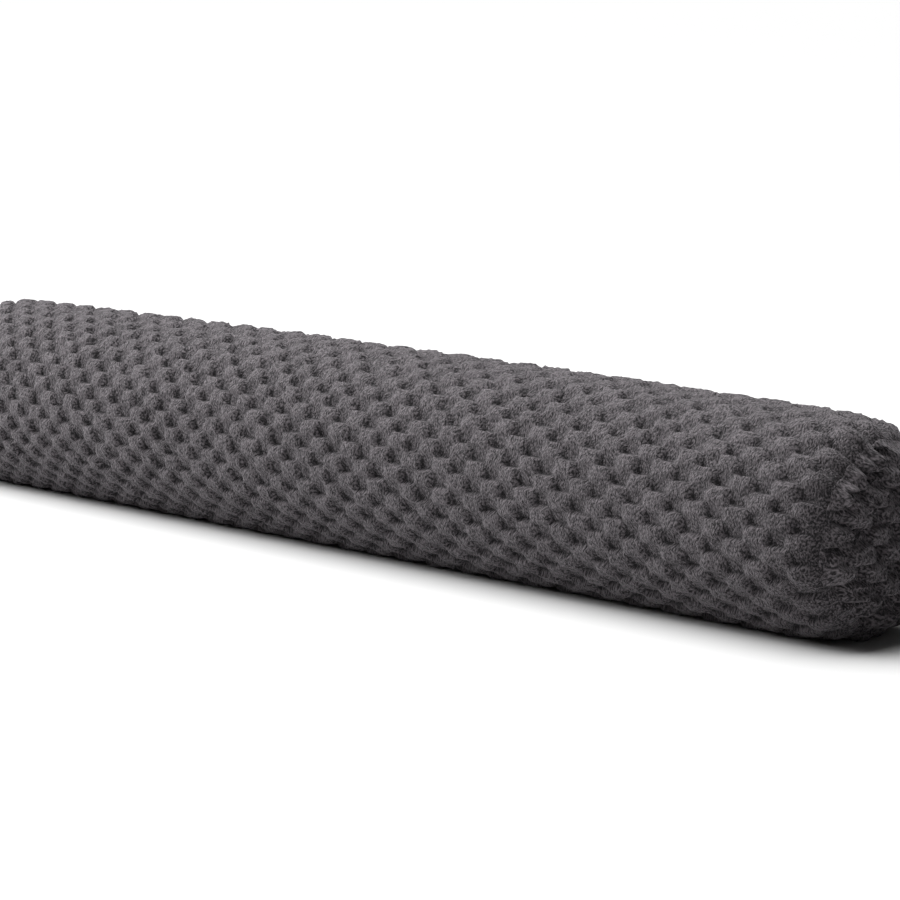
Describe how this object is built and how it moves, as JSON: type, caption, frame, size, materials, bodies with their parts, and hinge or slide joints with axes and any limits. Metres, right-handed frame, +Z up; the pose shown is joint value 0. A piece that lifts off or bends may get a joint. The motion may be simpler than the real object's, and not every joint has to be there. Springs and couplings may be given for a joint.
{
  "type": "body pillow",
  "caption": "Long round body pillow in a sculpted plush cover of raised pads in half-drop rows, with a round panel sewn into each end.",
  "frame": {"origin": "on the surface the pillow lies on, under its middle", "axes": "+X along the pillow towards its near end, +Z up"},
  "size_m": [1.22, 0.194, 0.1872],
  "materials": {
    "plush": "short charcoal plush pile with raised pads"
  },
  "bodies": {
    "root": {"bolster_tube": "plush", "end_panel_near": "plush", "end_panel_far": "plush"}
  },
  "joints": []
}
